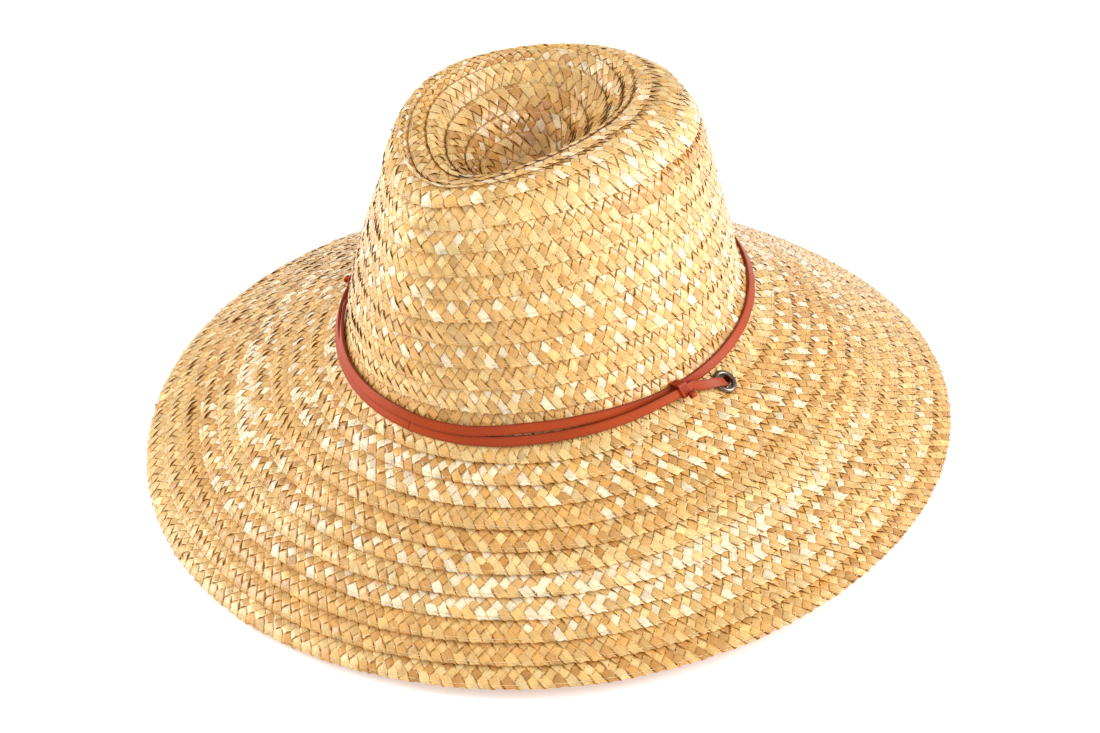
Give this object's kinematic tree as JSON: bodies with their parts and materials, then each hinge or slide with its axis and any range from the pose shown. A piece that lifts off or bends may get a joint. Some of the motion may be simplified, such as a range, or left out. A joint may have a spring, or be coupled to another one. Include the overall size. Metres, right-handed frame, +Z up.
{
  "type": "straw sun hat",
  "caption": "Wide-brimmed sun hat of sewn straw braid with a teardrop crown, brown leather straps around the crown, sliding keepers and side eyelets.",
  "frame": {"origin": "on the table under the middle of the head opening, at the lowest edge of the brim", "axes": "+Z up through the crown, the front of the hat faces -Y, the wearer's left is +X"},
  "size_m": [0.3514, 0.3806, 0.1673],
  "materials": {
    "straw": "natural wheat straw, satin",
    "leather": "smooth, semi-matte, dark cut edges",
    "eyelet_metal": "antique gunmetal",
    "sweatband": "cotton twill, matte"
  },
  "bodies": {
    "hat": {"side_crown": "straw", "crown_tip": "straw", "brim": "straw", "sweatband": "sweatband", "hat_band": "leather", "front_strap_left": "leather", "front_strap_right": "leather", "eyelet_left": "eyelet_metal", "eyelet_right": "eyelet_metal", "eyelet_washer_left": "eyelet_metal", "eyelet_washer_right": "eyelet_metal"},
    "keeper_left": {"keeper_left": "leather"},
    "keeper_right": {"keeper_right": "leather"}
  },
  "joints": [
    {"name": "keeper_left_slide", "type": "hinge", "parent": "hat", "child": "keeper_left", "pos_m": [-0.03509, -0.00069, 0.06657], "axis": [0, 0, -1], "range_deg": [0, 6.5]},
    {"name": "keeper_right_slide", "type": "hinge", "parent": "hat", "child": "keeper_right", "pos_m": [0.03399, -0.00097, 0.06657], "axis": [0, 0, 1], "range_deg": [-7, 4.5]}
  ]
}
